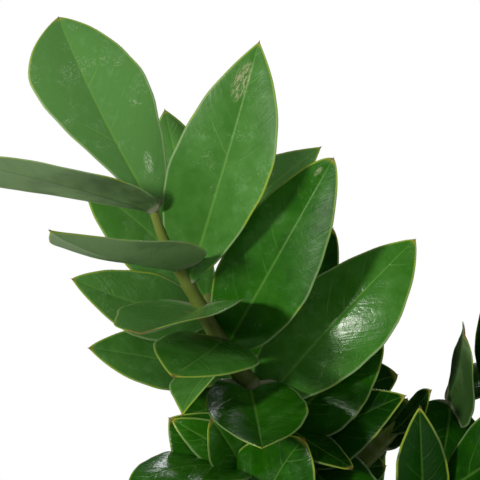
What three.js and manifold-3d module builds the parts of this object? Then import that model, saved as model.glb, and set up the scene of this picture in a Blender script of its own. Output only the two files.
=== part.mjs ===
// A ZZ plant in its pot. Sizes are millimetres, Z is up, and the pot stands on Z = 0 round the origin.
// The view that the plant is known from looks along +Y.
import * as THREE from "three";
import Module from "manifold-3d";

const wasm = await Module();
wasm.setup();

// Pot
const POT_HEIGHT = 125;
const POT_FOOT_RADIUS = 52;
const POT_MOUTH_RADIUS = 70;
const POT_WALL = 2.2;
const POT_FLOOR = 3;
const FOOT_ROUNDING = 3;
const RIM_HEIGHT = 13;
const RIM_OVERHANG = 3.2;
const RIM_ROUNDING = 1.4;
const POT_SIDES = 32;
const DRAIN_COUNT = 4;
const DRAIN_RADIUS = 5;
const DRAIN_CIRCLE = 30;

// Soil
const GAP = 0.3;
const SOIL_EDGE_HEIGHT = 109;
const SOIL_DOME = 5;
const SOIL_RELIEF = 1.1;
const CRUMB_WAVES = [0.31, 0.27];
const SLANTED_CRUMB_WAVES = [0.13, 0.19];
const SLANTED_CRUMB_SHARE = 0.6;
const SOIL_RINGS = 4;
const SOIL_SIDES = 26;

// Fronds: each stands in a blind hole in the soil and leans only above it
const SEAT_HEIGHT = 76;
const STALK_SIDES = 6;
const STALK_STEPS = 11;
const FOOT_RADIUS = 6.5;
const TIP_RADIUS = 1.3;
const TAPER = 1.08;
const HOLE_SIDES = 8;

// Leaflets
const BLADE_THICKNESS = 0.8;
const BLADE_STATIONS = [0, 0.1, 0.33, 0.6, 0.85, 1];
const FINE_STATIONS = [0, 0.1, 0.27, 0.5, 0.74, 0.91, 1];
const BLADE_FOOT_HALF = 0.9;
const BLADE_TIP_HALF = 0.4;
const NEARLY_ONE = 0.9999;
const USUAL_BELLY = 0.43;
const USUAL_POINT = 0.74;
const USUAL_BOW = 0.06;
const USUAL_FOLD = 0.18;
const CUP = 0.1;

// Leaflets set by rule
const WIDTH_SHARE = 0.42;
const FORWARD_ANGLE = 48;
const ANGLE_SPREAD = 7;
const LIFT = 0.22;
const LIFT_SPREAD = 0.08;
const FACE_SPREAD = 0.15;
const SIZE_SPREAD = 0.06;
const SMALLEST_SHARE = 0.86;
const STAGGER = 0.018;
const END_LEAFLET_SHARE = 0.88;
const END_LEAFLET_AT = 0.97;

// Looks
const LEAF_GREEN = 0x2f6f1e;
const LEAF_ROUGHNESS = 0.35;
const POT_BROWN = 0x9a5b43;
const POT_ROUGHNESS = 0.7;
const SOIL_BROWN = 0x3a2a20;
const SOIL_ROUGHNESS = 0.95;

// The fronds. path: points of the stalk's middle above the soil.
// leaflets: at = share of the path, tip = from the stalk's middle to the tip,
// face = the way the upper side looks, belly = where it is widest, skew = how much nearer the tip
// one half of it is widest, point = how pointed its ends are, nose = how pointed its tip is where that
// differs, bow = arch along it, fold = rise of its edges, sweep = bend to one side.
// rules: pairs of leaflets between two shares of the path, inward = the way their upper sides look.
const FRONDS = {
  frond_tall: {
    path: [
      [12, -6, 118], [14, -6, 170], [13, -8, 215], [7, -9, 255], [-4, -11, 282], [-15, -11, 300],
      [-28, -12, 316], [-38, -18, 332], [-46, -22, 347], [-55, -26, 364], [-59, -28, 376],
    ],
    leaflets: [
      { at: 0.984, tip: [-32.5, 18.5, 64], width: 36.5, face: [0.19, -0.91, 0.36],
        belly: 0.62, skew: 0.08, point: 0.48, nose: 0.77, bow: 0.07, fold: 0.27, sweep: -0.04 },
      { at: 0.985, tip: [-65, -37.5, 19], width: 30, face: [0.04, 0.4, 0.92],
        belly: 0.5, skew: -0.123, point: 0.55, nose: 0.65, bow: 0.03, fold: 0.1, sweep: 0.027 },
      { at: 0.814, tip: [23.5, -13.5, 80.5], width: 34.5, face: [-0.36, -0.93, -0.05],
        belly: 0.51, skew: -0.058, point: 0.6, nose: 0.9, fold: 0.31, sweep: 0.027 },
      { at: 0.845, tip: [-38.5, -63.5, 17], width: 38.5, face: [0, 0.26, 0.97],
        belly: 0.33, skew: -0.06, point: 0.77, nose: 1.11, bow: -0.02, fold: 0.33, sweep: 0.04 },
      { at: 0.761, tip: [-18, -61, -2], width: 39, face: [-0.05, -0.01, 1],
        belly: 0.32, skew: 0.028, point: 0.53, nose: 0.31, bow: -0.01, fold: 0.37, sweep: -0.017 },
      { at: 0.688, tip: [-14, -64, -4.5], width: 33.5, face: [0.23, -0.12, 0.97],
        belly: 0.6, skew: 0.017, point: 0.49, nose: 0.8, fold: 0.15, sweep: -0.066 },
      { at: 0.588, tip: [3.5, -63, -12], width: 33, face: [-0.01, -0.19, 0.98],
        belly: 0.37, skew: 0.025, point: 0.36, nose: 0.95, bow: -0.06, fold: 0.36, sweep: -0.013 },
      { at: 0.667, tip: [35.5, -18, 65], width: 32.5, face: [-0.39, -0.92, -0.04],
        skew: 0.004, point: 0.75, nose: 0.62, fold: 0.29, sweep: 0.018 },
      { at: 0.551, tip: [50, -10, 56], width: 35, face: [-0.41, -0.89, 0.21],
        belly: 0.47, skew: -0.072, point: 0.51, nose: 0.79, fold: 0.01, sweep: 0.009 },
      { at: 0.5, tip: [33, -3, 30], width: 30.5, face: [-0.32, -0.91, 0.26],
        belly: 0.41, point: 0.66, nose: 0.7 },
      { at: 0.449, tip: [34.5, -10.5, 20.5], width: 26.5, face: [-0.48, -0.78, 0.41],
        belly: 0.33, point: 0.76, nose: 0.81, fold: 0.15 },
      { at: 0.502, tip: [22, -27, -10.5], width: 19.5, face: [0.03, -0.33, 0.94],
        belly: 0.3, skew: -0.08, point: 0.8, nose: 0.57, bow: 0.03, fold: 0.09, sweep: 0.04 },
      { at: 0.419, tip: [27.5, -34, -20], width: 27.5, face: [-0.31, -0.65, 0.69],
        belly: 0.35, skew: -0.03, point: 0.71, fold: 0.22, sweep: 0.03 },
      { at: 0.635, tip: [-17, -33.5, -13], width: 26, face: [-0.43, -0.13, 0.89],
        belly: 0.4, skew: 0.02, nose: 1.1, bow: 0.1, fold: 0.35 },
    ],
    rules: [{ from: 0.18, to: 0.31, pairs: 3, length: 42, inward: [0.5, 0.87, 0.3], seed: 3 }],
  },
  frond_behind: {
    path: [
      [4, 26, 118], [6, 30, 200], [4, 31, 250], [-7, 30, 288], [-26, 29, 309], [-39, 28, 332],
      [-44, 28, 353], [-48, 30, 375],
    ],
    leaflets: [
      { at: 0.97, tip: [-9, -6, 36], width: 24.5, face: [-0.06, -0.98, -0.17], belly: 0.38, nose: 0.85 },
      { at: 0.883, tip: [43.5, 11.5, 36], width: 26, face: [-0.04, -0.94, 0.35],
        belly: 0.39, point: 0.9, nose: 0.94 },
      { at: 0.633, tip: [35.5, 11.5, 45], width: 31, face: [0, -0.97, 0.25],
        belly: 0.48, skew: -0.02, nose: 0.68 },
      { at: 0.75, tip: [-42.5, -18, 44], width: 28, face: [0.33, -0.94, -0.04],
        belly: 0.47, skew: 0.02, sweep: 0.05 },
      { at: 0.717, tip: [-48, -29.5, 17], width: 25, face: [0.58, -0.72, 0.38],
        belly: 0.52, skew: 0.03, nose: 0.8, sweep: -0.07 },
      { at: 0.583, tip: [-54, -35, 15.5], width: 26.5, face: [0.55, -0.57, 0.61],
        belly: 0.58, skew: 0.07, nose: 0.82, fold: 0.15, sweep: -0.03 },
      { at: 0.69, tip: [-18, -5, 1], width: 17, face: [0, -0.87, 0.5] },
      { at: 0.452, tip: [35, -5, 21], width: 28, face: [-0.41, -0.75, 0.52],
        belly: 0.51, skew: 0.06, nose: 0.65, bow: 0.08, fold: 0.27, sweep: -0.02 },
      { at: 0.533, tip: [-29, -27, -2], width: 28, face: [0, -1, 0.5] },
    ],
    rules: [{ from: 0.2, to: 0.36, pairs: 3, length: 46, inward: [0.5, 0.87, 0.3], seed: 3 }],
  },
  frond_right: {
    path: [
      [22, 10, 118], [24, 14, 180], [17, 17, 235], [9, 18, 274], [16, 17, 287], [28, 13, 299], [45, 7, 307],
    ],
    leaflets: [
      { at: 0.739, tip: [14.5, -18.5, 19], width: 14.5, face: [-0.88, -0.35, 0.33],
        belly: 0.61, skew: -0.04, point: 0.83, bow: -0.02, fold: 0.09, sweep: 0.03 },
      { at: 0.69, tip: [11, 2, 17], width: 16, face: [0, -1, 0.5] },
      { at: 0.972, tip: [3, -27.5, 26.5], width: 28, face: [0.98, 0.16, 0.06],
        belly: 0.28, skew: -0.094, point: 0.75, nose: 0.31, bow: 0.04, fold: 0.29, sweep: 0.005 },
      { at: 0.975, tip: [-5, -22, -20], width: 24, face: [0.3, -1, 0.4] },
      { at: 0.56, tip: [11, 4, 1], width: 12, face: [0, -1, 0.5] },
      { at: 0.97, tip: [34, 24, 13], width: 20, face: [-0.3, -0.6, 1] },
    ],
    rules: [{ from: 0.18, to: 0.34, pairs: 3, length: 44, inward: [-0.5, -0.87, 0.3], seed: 3 }],
  },
  frond_low_front: {
    path: [
      [-8, -16, 118], [-12, -20, 180], [-20, -19, 240], [-25, -16, 272], [-28, -15, 282], [-30, -15, 292],
    ],
    leaflets: [
      { at: 0.53, tip: [14.5, -19, 36], width: 35.5, face: [-0.64, -0.76, -0.14],
        belly: 0.49, skew: -0.02, point: 0.69, bow: 0.08, fold: 0.1, sweep: -0.04 },
      { at: 0.817, tip: [-11.5, -12, 22], width: 19.5, face: [0.61, -0.78, -0.1],
        belly: 0.47, skew: 0.02, nose: 0.65, sweep: 0.01 },
      { at: 0.8, tip: [-26, 4, 21], width: 28, face: [0.04, -0.97, 0.23],
        belly: 0.39, skew: -0.01, nose: 0.81 },
      { at: 0.949, tip: [-23.5, 1, 13.5], width: 15, face: [0.13, -0.95, 0.28],
        belly: 0.31, skew: -0.02, point: 0.77, nose: 0.74, fold: 0.16, sweep: -0.01 },
      { at: 0.869, tip: [-37.5, -35, -0.5], width: 32.5, face: [0.11, -0.13, 0.99],
        belly: 0.36, skew: 0.03, point: 0.76, nose: 0.71, bow: 0.08, fold: 0.1, sweep: 0.03 },
    ],
    rules: [{ from: 0.26, to: 0.46, pairs: 3, length: 46, inward: [0.94, 0.34, 0.3], seed: 3 }],
  },
  frond_far_right: {
    path: [
      [33, -10, 118], [36, -15, 180], [32, -20, 235], [31, -22, 267], [39, -20, 283], [50, -18, 298],
      [67, -16, 317], [86, -12, 343],
    ],
    leaflets: [
      { at: 0.45, tip: [-2.5, -12, 39.5], width: 17.5, face: [-0.05, -0.95, -0.29], nose: 0.84 },
      { at: 0.495, tip: [50, -27, 36.5], width: 30, face: [-0.59, -0.77, 0.23],
        belly: 0.51, skew: 0.03, point: 0.77 },
      { at: 0.86, tip: [-14, 22.5, 22.5], width: 30, face: [-0.64, -0.71, 0.3],
        belly: 0.36, skew: -0.03, nose: 0.89, bow: 0.03, fold: 0.14 },
    ],
    rules: [{ from: 0.93, to: 0.93, pairs: 1, length: 44, inward: [-1, -0.6, 0.8], seed: 5, end: true }],
  },
  frond_left: {
    path: [[-26, 2, 118], [-34, 2, 165], [-52, 0, 205], [-80, -2, 235], [-112, -4, 250]],
    leaflets: [],
    rules: [{ from: 0.36, to: 0.9, pairs: 5, length: 54, inward: [1, 0, 1], seed: 11, end: true }],
  },
  frond_back_left: {
    path: [[-20, 24, 118], [-26, 32, 160], [-39, 49, 196], [-58, 72, 218], [-78, 94, 226]],
    leaflets: [],
    rules: [{ from: 0.36, to: 0.9, pairs: 5, length: 54, inward: [0.6, -0.8, 1], seed: 23, end: true }],
  },
  frond_back: {
    path: [[6, 48, 118], [6, 57, 175], [2, 70, 230], [-5, 84, 278], [-14, 98, 312]],
    leaflets: [],
    rules: [{ from: 0.42, to: 0.91, pairs: 5, length: 50, inward: [0, -1, 0.8], seed: 38, end: true }],
  },
  frond_back_right: {
    path: [[32, 32, 118], [38, 37, 175], [53, 50, 225], [76, 67, 262], [103, 84, 285]],
    leaflets: [],
    rules: [{ from: 0.38, to: 0.9, pairs: 5, length: 54, inward: [-0.8, -0.7, 1], seed: 41, end: true }],
  },
  frond_front_right: {
    path: [[24, -32, 118], [30, -40, 165], [44, -58, 205], [64, -80, 235], [86, -100, 250]],
    leaflets: [],
    rules: [{ from: 0.36, to: 0.9, pairs: 5, length: 54, inward: [-0.7, 0.7, 1], seed: 53, end: true }],
  },
  frond_front_left: {
    path: [[-16, -38, 118], [-22, -46, 165], [-36, -62, 205], [-56, -82, 232], [-80, -100, 246]],
    leaflets: [],
    rules: [{ from: 0.36, to: 0.9, pairs: 5, length: 54, inward: [0.7, 0.7, 1], seed: 67, end: true }],
  },
};

const vec = (p) => new THREE.Vector3(p[0], p[1], p[2]);
const radians = THREE.MathUtils.degToRad;

// A repeatable stream of numbers between 0 and 1
const DRAW_FACTOR = 1664525;
const DRAW_STEP = 1013904223;
const DRAW_RANGE = 2 ** 32;
function draws(seed) {
  let state = seed;
  return () => {
    state = (state * DRAW_FACTOR + DRAW_STEP) % DRAW_RANGE;
    return state / DRAW_RANGE;
  };
}

// A point on the smooth curve through the path's points, at a share of its length in steps
function along(path, share) {
  const p = path.map(vec);
  const first = p[0].clone().multiplyScalar(2).sub(p[1]);
  const last = p.at(-1).clone().multiplyScalar(2).sub(p.at(-2));
  const q = [first, ...p, last];
  const spans = p.length - 1;
  const x = Math.min(Math.max(share, 0), 1) * spans;
  const i = Math.min(Math.floor(x), spans - 1);
  const t = x - i;
  const weights = [
    (-t + 2 * t * t - t ** 3) / 2,
    (2 - 5 * t * t + 3 * t ** 3) / 2,
    (t + 4 * t * t - 3 * t ** 3) / 2,
    (-t * t + t ** 3) / 2,
  ];
  const point = new THREE.Vector3();
  weights.forEach((w, k) => point.addScaledVector(q[i + k], w));
  return point;
}

function heading(path, share) {
  const step = 0.01;
  return along(path, Math.min(share + step, 1)).sub(along(path, Math.max(share - step, 0))).normalize();
}

function stalkRadius(share) {
  return TIP_RADIUS + (FOOT_RADIUS - TIP_RADIUS) * (1 - share) ** TAPER;
}

function solid(points, faces) {
  const vertProperties = new Float32Array(points.flat());
  const triVerts = new Uint32Array(faces.flat());
  return new wasm.Manifold(new wasm.Mesh({ numProp: 3, vertProperties, triVerts }));
}

// Closed rings of points, skinned from the first to the last and capped at both ends
function skin(rings) {
  const n = rings[0].length;
  const faces = [];
  for (let i = 0; i + 1 < rings.length; i++) {
    for (let j = 0; j < n; j++) {
      const a = i * n + j;
      const b = i * n + ((j + 1) % n);
      faces.push([a, b, b + n], [a, b + n, a + n]);
    }
  }
  const end = (rings.length - 1) * n;
  for (let j = 1; j + 1 < n; j++) {
    faces.push([0, j + 1, j], [end, end + j, end + j + 1]);
  }
  return solid(rings.flat(), faces);
}

function circle(x, y, z, radius, sides) {
  const ring = [];
  for (let j = 0; j < sides; j++) {
    const turn = (2 * Math.PI * j) / sides;
    ring.push([x + radius * Math.cos(turn), y + radius * Math.sin(turn), z]);
  }
  return ring;
}

// A round hole whose flats, not its corners, are at the radius
function hole(x, y, radius, low, high) {
  const corner = radius / Math.cos(Math.PI / HOLE_SIDES);
  return skin([circle(x, y, low, corner, HOLE_SIDES), circle(x, y, high, corner, HOLE_SIDES)]);
}

// The pot's inner radius at a height
function innerRadius(z) {
  const share = z / POT_HEIGHT;
  return POT_FOOT_RADIUS + (POT_MOUTH_RADIUS - POT_FOOT_RADIUS) * share - POT_WALL;
}

function pot() {
  const outer = (z) => innerRadius(z) + POT_WALL;
  const rimFoot = POT_HEIGHT - RIM_HEIGHT;
  const rimRadius = POT_MOUTH_RADIUS + RIM_OVERHANG;
  const shape = [
    [POT_FOOT_RADIUS - FOOT_ROUNDING, 0],
    [outer(FOOT_ROUNDING), FOOT_ROUNDING],
    [outer(rimFoot), rimFoot],
    [rimRadius - RIM_ROUNDING, rimFoot],
    [rimRadius, rimFoot + RIM_ROUNDING],
    [rimRadius, POT_HEIGHT - RIM_ROUNDING],
    [rimRadius - RIM_ROUNDING, POT_HEIGHT],
    [innerRadius(POT_HEIGHT) + RIM_ROUNDING, POT_HEIGHT],
    [innerRadius(POT_HEIGHT - RIM_ROUNDING), POT_HEIGHT - RIM_ROUNDING],
    [innerRadius(POT_FLOOR), POT_FLOOR],
  ];
  let body = skin(shape.map(([r, z]) => circle(0, 0, z, r, POT_SIDES)));
  for (let k = 0; k < DRAIN_COUNT; k++) {
    const turn = (2 * Math.PI * (k + 0.5)) / DRAIN_COUNT;
    const x = DRAIN_CIRCLE * Math.cos(turn);
    const y = DRAIN_CIRCLE * Math.sin(turn);
    body = body.subtract(hole(x, y, DRAIN_RADIUS, -POT_FLOOR, 2 * POT_FLOOR));
  }
  return body;
}

// Soil height, crumbly and a little higher in the middle
function soilHeight(x, y, share) {
  const squared = Math.sin(x * CRUMB_WAVES[0] + 1) * Math.cos(y * CRUMB_WAVES[1]);
  const slanted = Math.sin(x * SLANTED_CRUMB_WAVES[0] - y * SLANTED_CRUMB_WAVES[1]);
  const crumbs = squared + SLANTED_CRUMB_SHARE * slanted;
  return SOIL_EDGE_HEIGHT + SOIL_DOME * (1 - share * share) + SOIL_RELIEF * crumbs * (1 - share ** 4);
}

function soil() {
  const low = POT_FLOOR + GAP;
  const edge = (z) => innerRadius(z) * Math.cos(Math.PI / POT_SIDES) - GAP;
  const rings = [circle(0, 0, low, edge(low), SOIL_SIDES)];
  for (let k = 0; k < SOIL_RINGS; k++) {
    const share = 1 - k / SOIL_RINGS;
    const flat = circle(0, 0, 0, edge(SOIL_EDGE_HEIGHT) * share, SOIL_SIDES);
    rings.push(flat.map(([x, y]) => [x, y, soilHeight(x, y, share)]));
  }
  let body = skin(rings);
  for (const frond of Object.values(FRONDS)) {
    const [x, y] = frond.path[0];
    body = body.subtract(hole(x, y, FOOT_RADIUS + GAP, SEAT_HEIGHT - GAP, POT_HEIGHT));
  }
  return body;
}

function stalk(path) {
  const [x, y] = path[0];
  const rings = [circle(x, y, SEAT_HEIGHT, FOOT_RADIUS, STALK_SIDES)];
  let across = new THREE.Vector3(1, 0, 0);
  for (let k = 0; k <= STALK_STEPS; k++) {
    const share = k / STALK_STEPS;
    const middle = along(path, share);
    const forward = heading(path, share);
    const up = forward.clone().cross(across).normalize();
    across = up.clone().cross(forward).normalize();
    const ring = [];
    for (let j = 0; j < STALK_SIDES; j++) {
      const turn = (2 * Math.PI * j) / STALK_SIDES;
      const p = middle
        .clone()
        .addScaledVector(across, stalkRadius(share) * Math.cos(turn))
        .addScaledVector(up, stalkRadius(share) * Math.sin(turn));
      ring.push(p.toArray());
    }
    rings.push(ring);
  }
  return skin(rings);
}

// Half the blade's width at a share of its length, as a share of half its greatest width
function outline(share, belly, point, nose) {
  const power = Math.log(0.5) / Math.log(belly);
  return Math.sin(Math.PI * share ** power) ** (point + (nose - point) * share);
}

// A point of a leaflet's blade: s from foot to tip, u from edge to edge, lift off the middle layer
function bladePoint(leaflet, root, s, u, lift) {
  const reach = vec(leaflet.tip);
  const length = reach.length();
  const ahead = reach.normalize();
  const look = vec(leaflet.face);
  const out = look.addScaledVector(ahead, -look.dot(ahead)).normalize();
  const side = ahead.clone().cross(out);
  const skew = (leaflet.skew ?? 0) * (u < 0 ? 1 : -1);
  const belly = (leaflet.belly ?? USUAL_BELLY) + skew;
  const point = leaflet.point ?? USUAL_POINT;
  const shape = outline(Math.min(s, NEARLY_ONE), belly, point, leaflet.nose ?? point);
  const half = Math.max((leaflet.width / 2) * shape, s < 0.5 ? BLADE_FOOT_HALF : BLADE_TIP_HALF);
  const arch = 4 * s * (1 - s) * length;
  const height = half * ((leaflet.fold ?? USUAL_FOLD) * Math.abs(u) - CUP * u * u);
  return root
    .clone()
    .addScaledVector(ahead, length * s)
    .addScaledVector(out, arch * (leaflet.bow ?? USUAL_BOW) + height + lift)
    .addScaledVector(side, arch * (leaflet.sweep ?? 0) + u * half)
    .toArray();
}

// A blade as a thin closed solid, with the same triangles above and below
function blade(leaflet, root, stations) {
  const columns = [-1, 0, 1];
  const n = columns.length;
  const half = BLADE_THICKNESS / 2;
  const points = [];
  for (const lift of [-half, half]) {
    for (const s of stations) {
      for (const u of columns) points.push(bladePoint(leaflet, root, s, u, lift));
    }
  }
  const over = stations.length * n;
  const faces = [];
  const last = stations.length - 1;
  for (let i = 0; i < last; i++) {
    for (let j = 0; j + 1 < n; j++) {
      const a = i * n + j;
      faces.push([a, a + n + 1, a + 1], [a, a + n, a + n + 1]);
      faces.push([over + a, over + a + 1, over + a + n + 1], [over + a, over + a + n + 1, over + a + n]);
    }
    const left = i * n;
    const right = left + n - 1;
    faces.push([left, over + left, over + left + n], [left, over + left + n, left + n]);
    faces.push([right, right + n, over + right + n], [right, over + right + n, over + right]);
  }
  for (let j = 0; j + 1 < n; j++) {
    const tip = last * n + j;
    faces.push([j, j + 1, over + j + 1], [j, over + j + 1, over + j]);
    faces.push([tip, over + tip + 1, tip + 1], [tip, over + tip, over + tip + 1]);
  }
  return solid(points, faces);
}

// Pairs of leaflets up a stalk, and one at its end, with a seeded spread
function leafletsByRule(path, rule) {
  const draw = draws(rule.seed);
  const spread = (amount) => (2 * draw() - 1) * amount;
  const leaflets = [];
  for (let k = 0; k < rule.pairs; k++) {
    for (const hand of [-1, 1]) {
      const at = rule.from + ((rule.to - rule.from) * k) / Math.max(rule.pairs - 1, 1) + hand * STAGGER;
      const forward = heading(path, at);
      const look = vec(rule.inward);
      const out = look.addScaledVector(forward, -look.dot(forward)).normalize();
      const side = forward.clone().cross(out).multiplyScalar(hand);
      const angle = radians(FORWARD_ANGLE + spread(ANGLE_SPREAD));
      const swell = Math.sin((Math.PI * (k + 1)) / (rule.pairs + 1));
      const grown = SMALLEST_SHARE + (1 - SMALLEST_SHARE) * swell;
      const size = rule.length * (1 - SIZE_SPREAD + spread(SIZE_SPREAD)) * grown;
      const tip = side
        .clone()
        .multiplyScalar(Math.cos(angle))
        .addScaledVector(forward, Math.sin(angle))
        .addScaledVector(out, LIFT + spread(LIFT_SPREAD))
        .normalize()
        .multiplyScalar(size);
      const face = out.clone().addScaledVector(side, spread(FACE_SPREAD)).toArray();
      leaflets.push({ at, tip: tip.toArray(), width: size * WIDTH_SHARE, face });
    }
  }
  if (rule.end) {
    const size = rule.length * END_LEAFLET_SHARE;
    const tip = heading(path, 1).multiplyScalar(size).toArray();
    leaflets.push({ at: END_LEAFLET_AT, tip, width: size * WIDTH_SHARE, face: rule.inward });
  }
  return leaflets;
}

function frond({ path, leaflets, rules }) {
  let body = stalk(path);
  for (const leaflet of leaflets) {
    body = body.add(blade(leaflet, along(path, leaflet.at), FINE_STATIONS));
  }
  for (const leaflet of rules.flatMap((rule) => leafletsByRule(path, rule))) {
    body = body.add(blade(leaflet, along(path, leaflet.at), BLADE_STATIONS));
  }
  return body;
}

function mesh(name, body, color, roughness) {
  const { vertProperties, triVerts } = body.getMesh();
  const geometry = new THREE.BufferGeometry();
  geometry.setAttribute("position", new THREE.BufferAttribute(vertProperties, 3));
  geometry.setIndex(new THREE.BufferAttribute(triVerts, 1));
  const material = new THREE.MeshStandardMaterial({ color, roughness, metalness: 0 });
  const piece = new THREE.Mesh(geometry.toNonIndexed(), material);
  piece.geometry.computeVertexNormals();
  piece.name = name;
  return piece;
}

const plant = new THREE.Group();
plant.add(mesh("pot", pot(), POT_BROWN, POT_ROUGHNESS));
plant.add(mesh("soil", soil(), SOIL_BROWN, SOIL_ROUGHNESS));
for (const [name, description] of Object.entries(FRONDS)) {
  plant.add(mesh(name, frond(description), LEAF_GREEN, LEAF_ROUGHNESS));
}

export default plant;
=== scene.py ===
# The looks of a ZZ plant in its pot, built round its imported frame. Blender units are metres, Z is up.
# The shapes below are worked out in millimetres, as the frame's are, and turned into metres in mesh_piece.
import math
import random

import bpy
import numpy as np
from mathutils import Matrix, Vector


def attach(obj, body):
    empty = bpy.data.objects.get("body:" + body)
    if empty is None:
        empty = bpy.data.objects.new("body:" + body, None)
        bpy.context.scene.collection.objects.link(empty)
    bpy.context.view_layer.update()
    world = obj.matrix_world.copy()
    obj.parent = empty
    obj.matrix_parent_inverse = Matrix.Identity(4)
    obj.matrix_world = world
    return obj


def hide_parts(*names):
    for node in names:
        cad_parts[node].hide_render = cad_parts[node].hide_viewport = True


MM = 0.001

# View: it looks along +Y, a little down, at the upper part of the tall frond
VIEW_TARGET = (-30, -20, 364)
VIEW_DISTANCE = 900
VIEW_ELEVATION = 4
VIEW_LENS = 202.5
SENSOR = 36
NEAREST_SEEN = 10
FARTHEST_SEEN = 20000

# Pot, as in the frame, with its rounded edges
POT_HEIGHT = 125
POT_FOOT_RADIUS = 52
POT_MOUTH_RADIUS = 70
POT_WALL = 2.2
POT_FLOOR = 3
FOOT_ROUNDING = 3
RIM_HEIGHT = 13
RIM_OVERHANG = 3.2
POT_SIDES = 144
RIM_FOOT_ROUNDING = 1.4
RIM_TOP_ROUNDING = 2.2
MOUTH_ROUNDING = 1.6
FLOOR_ROUNDING = 2
RIM_FILLET = (0.2, 0.3)
WALL_END_GAPS = (3, 2)
OUTSIDE_ROWS = 40
INSIDE_ROWS = 12
AXIS_RADIUS = 0.5
POT_RING_DEPTH = 0.35
POT_RING_HALF = 0.9
POT_RINGS_BELOW_RIM = (8, 12)
DRAIN_COUNT = 4
DRAIN_RADIUS = 5
DRAIN_CIRCLE = 30
DRAIN_SIDES = 32

# Soil
SOIL_EDGE_HEIGHT = 109
SOIL_DOME = 5
SOIL_RELIEF = 1.1
SOIL_GAP = 0.3
CRUMB_WAVES = (0.31, 0.27)
SLANTED_CRUMB_WAVES = (0.13, 0.19)
SLANTED_CRUMB_SHARE = 0.6
SOIL_SIDES = 220
SOIL_RINGS = 70
SOIL_MIDDLE_RADIUS = 1
SOIL_GRAIN = 0.5
SOIL_LUMP_HEIGHT = 0.5
SOIL_LUMP_WAVES = (1.3, 1.7)
SOIL_SINK = 0.4
SOIL_SEED = 5

# Loose pieces on the soil: how many, their sizes, how flat they lie, and the seed of their random draws
CRUMBS = dict(count=1500, sizes=(1.5, 5.5), flatness=(0.4, 0.8), seed=21)
PERLITE = dict(count=90, sizes=(1.6, 3.4), flatness=(0.7, 1), seed=22)
SMALLEST_LUMP_SHARE = 0.6
LUMP_STRETCH = (0.7, 1.5)
LUMP_SQUEEZE = (0.6, 1)
LUMP_ROUGHNESS = (0.72, 1.15)
LUMP_TILT = 0.5
LUMP_RISE = 0.1
LUMP_CORNER = 0.58
WALL_CLEARANCE = 3
STALK_CLEARANCE = 1.5

# Fronds
SEAT_HEIGHT = 76
FOOT_RADIUS = 6.5
TIP_RADIUS = 1.3
TAPER = 1.08
STALK_RINGS = 150
STALK_SIDES = 20
NODE_SWELLING = 0.16
NODE_LENGTH = 2.6
END_CAP_SHARE = 0.55
END_CAP_RISE = 0.7
HEADING_STEP = 0.01
FROND_SEED = 100
DRAW_FACTOR = 1664525
DRAW_STEP = 1013904223
DRAW_RANGE = 2**32

# Leaflets: rows along a blade and columns across each half of it, finer where they show in the main view
FINE_GRID = (46, 12)
COARSE_GRID = (30, 8)
COLUMN_CROWDING = 0.6
BLADE_THICKNESS = 0.8
MARGIN_THICKNESS = 0.34
TIP_THICKNESS_SHARE = 0.45
RIM_ROUNDING = 0.35
LEAST_HALF = 0.12
STUB_HALF = 1.25
STUB_REACH = 0.45
STUB_LENGTH = 3.0
STUB_THICKNESS = 1.5
STUB_FLARE = 1.6
STUB_END = 0.5
KEEL_DEPTH = 0.5
KEEL_HALF = 1.0
KEEL_TAPER = 0.7
MIDRIB_HALF = 0.95
MIDRIB_TAPER = 0.65
GROOVE_DEPTH = 0.15
GROOVE_HALF = 0.55
SPIKE_LENGTH = 0.7
NEARLY_ONE = 0.9999
USUAL_BELLY = 0.43
USUAL_POINT = 0.74
USUAL_BOW = 0.06
USUAL_FOLD = 0.18
CUP = 0.1
CREASE_ROUNDING = 0.003
VEINS = 9
VEIN_LEAN = 0.8
VEIN_CURL = 0.5
QUILTING = 0.1
WAVE_HEIGHT = 0.035
WAVES_ALONG = 9
WAVE_LAG = 2.1
EDGE_WOBBLE = 0.012
WOBBLES_ALONG = 17
FINE_WOBBLES_ALONG = 41
FINE_WOBBLE_SHARE = 0.6
RULE_TONE = 0.15
TONE_RISE = 0.35
TONE_SPREAD = 0.15

# Leaflets set by rule, as in the frame
WIDTH_SHARE = 0.42
FORWARD_ANGLE = 48
ANGLE_SPREAD = 7
LIFT = 0.22
LIFT_SPREAD = 0.08
FACE_SPREAD = 0.15
SIZE_SPREAD = 0.06
SMALLEST_SHARE = 0.86
STAGGER = 0.018
END_LEAFLET_SHARE = 0.88
END_LEAFLET_AT = 0.97

# Colours, as linear red, green and blue
LEAF_DEEP = (0.004, 0.036, 0.001, 1)
LEAF_MID = (0.018, 0.124, 0.001, 1)
LEAF_LIGHT = (0.090, 0.255, 0.048, 1)
# Waxy bloom that is partly a painted sheen
BLOOM_AND_SHEEN_GREEN = (0.190, 0.400, 0.160, 1)
GLINT_PALE = (0.520, 0.660, 0.430, 1)
VEIN_GREEN = (0.150, 0.360, 0.075, 1)
MIDRIB_GREEN = (0.165, 0.370, 0.060, 1)
MARGIN_PALE = (0.310, 0.460, 0.200, 1)
MARGIN_YELLOW = (0.340, 0.470, 0.045, 1)
TIP_YELLOW = (0.360, 0.360, 0.050, 1)
TIP_BROWN = (0.160, 0.070, 0.030, 1)
SCUFF_BEIGE = (0.430, 0.440, 0.250, 1)
STUB_GREY = (0.280, 0.300, 0.190, 1)
UNDER_DEEP = (0.030, 0.078, 0.016, 1)
UNDER_LIGHT = (0.235, 0.385, 0.162, 1)
UNDER_MIDRIB = (0.060, 0.140, 0.035, 1)
STALK_GREEN = (0.022, 0.046, 0.010, 1)
STALK_OLIVE = (0.090, 0.140, 0.020, 1)
STALK_TAN = (0.200, 0.255, 0.045, 1)
STALK_SPECK = (0.020, 0.020, 0.010, 1)
NODE_GREY = (0.230, 0.250, 0.140, 1)
POT_DEEP = (0.250, 0.075, 0.038, 1)
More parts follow.
